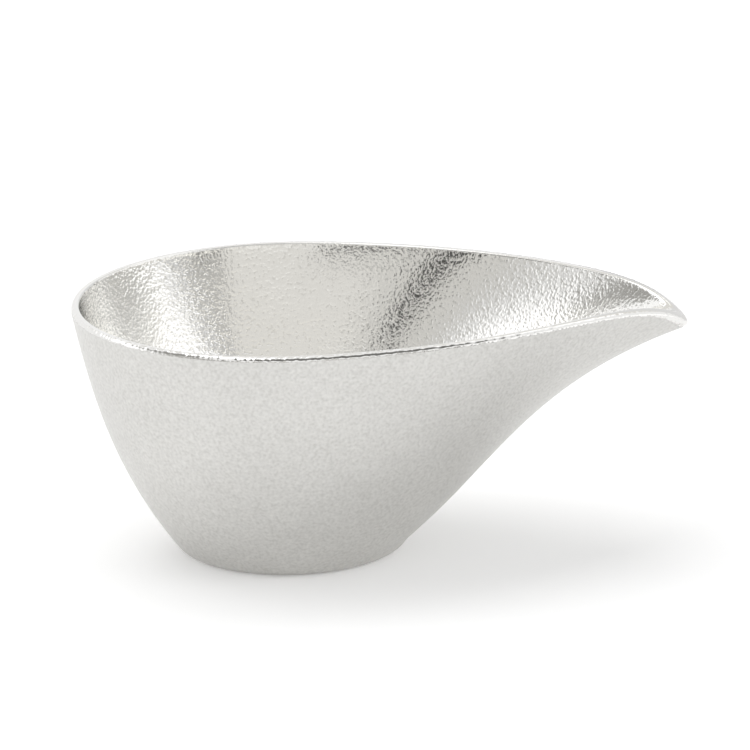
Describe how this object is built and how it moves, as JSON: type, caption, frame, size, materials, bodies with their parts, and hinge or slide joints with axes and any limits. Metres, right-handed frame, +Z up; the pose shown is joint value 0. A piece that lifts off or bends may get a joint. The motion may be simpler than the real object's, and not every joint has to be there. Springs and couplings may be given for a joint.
{
  "type": "katakuchi sake pourer",
  "caption": "Cast tin sake pourer: a round bowl on a small flat base, drawn out on one side into a beak-shaped pouring spout, with a polished rim.",
  "frame": {"origin": "middle of the standing face, on the table", "axes": "+Z up, +X along the spout towards its tip, +Y to the pourer's left side; the vessel is mirror-symmetric about the XZ plane"},
  "size_m": [0.1392, 0.097, 0.058],
  "materials": {
    "cast_tin": "sand-cast tin, satin with a fine grain",
    "ground_tin": "tin ground flat, satin",
    "polished_tin": "tin, ground and polished bright"
  },
  "bodies": {
    "root": {"cast_wall": "cast_tin", "ground_base": "ground_tin", "polished_rim": "polished_tin"}
  },
  "joints": []
}
